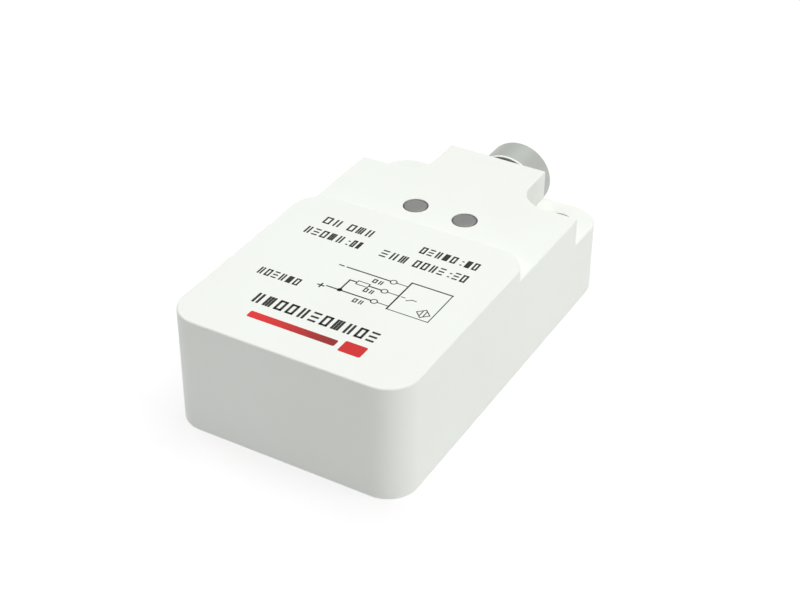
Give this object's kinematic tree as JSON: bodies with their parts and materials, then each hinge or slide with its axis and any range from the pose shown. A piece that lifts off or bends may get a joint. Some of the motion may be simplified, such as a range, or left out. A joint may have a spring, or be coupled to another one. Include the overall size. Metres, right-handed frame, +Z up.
{
  "type": "proximity sensor",
  "caption": "Block-shaped inductive proximity sensor with a square sensing face, two indicator windows, two mounting ears and a round rear connector.",
  "frame": {"origin": "middle of the base, at half the overall length", "axes": "+Z up out of the square sensing face, +Y from the plain front end towards the connector, +X to the right when looking along +Y"},
  "size_m": [0.04, 0.077, 0.02],
  "materials": {
    "housing": "moulded off-white polyester with a very fine grain",
    "cover": "moulded off-white polyester, slightly coarser grain",
    "resin": "cast resin, glossy",
    "ferrite": "ground and sintered, dull",
    "shield": "rolled copper band",
    "carrier": "natural moulded plastic",
    "enamelled_wire": "enamelled copper wire",
    "board": "solder mask over glass laminate",
    "chip": "moulded epoxy package with tinned legs",
    "capacitor_can": "drawn can",
    "film_capacitor": "moulded box",
    "resistor": "glazed chip with tinned ends",
    "led_body": "moulded white body",
    "smoke_plastic": "smoke grey moulded light pipe",
    "barrel": "grey, smooth, satin",
    "seal": "moulded rubber",
    "insert": "glass filled plastic",
    "contact": "gold flashed brass",
    "brown_sleeve": "wire insulation",
    "blue_sleeve": "wire insulation",
    "black_sleeve": "wire insulation"
  },
  "bodies": {
    "root": {"housing": "housing", "base_cover": "cover", "potting_layer": "resin", "ferrite_core": "ferrite", "shield_ring": "shield", "core_carrier": "carrier", "coil_bobbin": "carrier", "sensing_coil": "enamelled_wire", "coil_lead_start": "enamelled_wire", "coil_lead_end": "enamelled_wire", "circuit_board": "board", "sensing_chip": "chip", "output_transistor": "chip", "voltage_regulator": "chip", "reverse_polarity_diode": "chip", "surge_suppressor": "chip", "input_capacitor": "capacitor_can", "resonance_capacitor": "film_capacitor", "range_resistor": "resistor", "bias_resistor": "resistor", "power_led_resistor": "resistor", "output_led_resistor": "resistor", "power_led": "led_body", "output_led": "led_body", "power_light_pipe": "smoke_plastic", "output_light_pipe": "smoke_plastic", "connector_barrel": "barrel", "barrel_seal": "seal", "contact_insert": "insert", "insert_seal": "seal", "contact_pin_1": "contact", "contact_pin_2": "contact", "contact_pin_3": "contact", "contact_pin_4": "contact", "supply_wire": "brown_sleeve", "ground_wire": "blue_sleeve", "output_wire": "black_sleeve"}
  },
  "joints": []
}
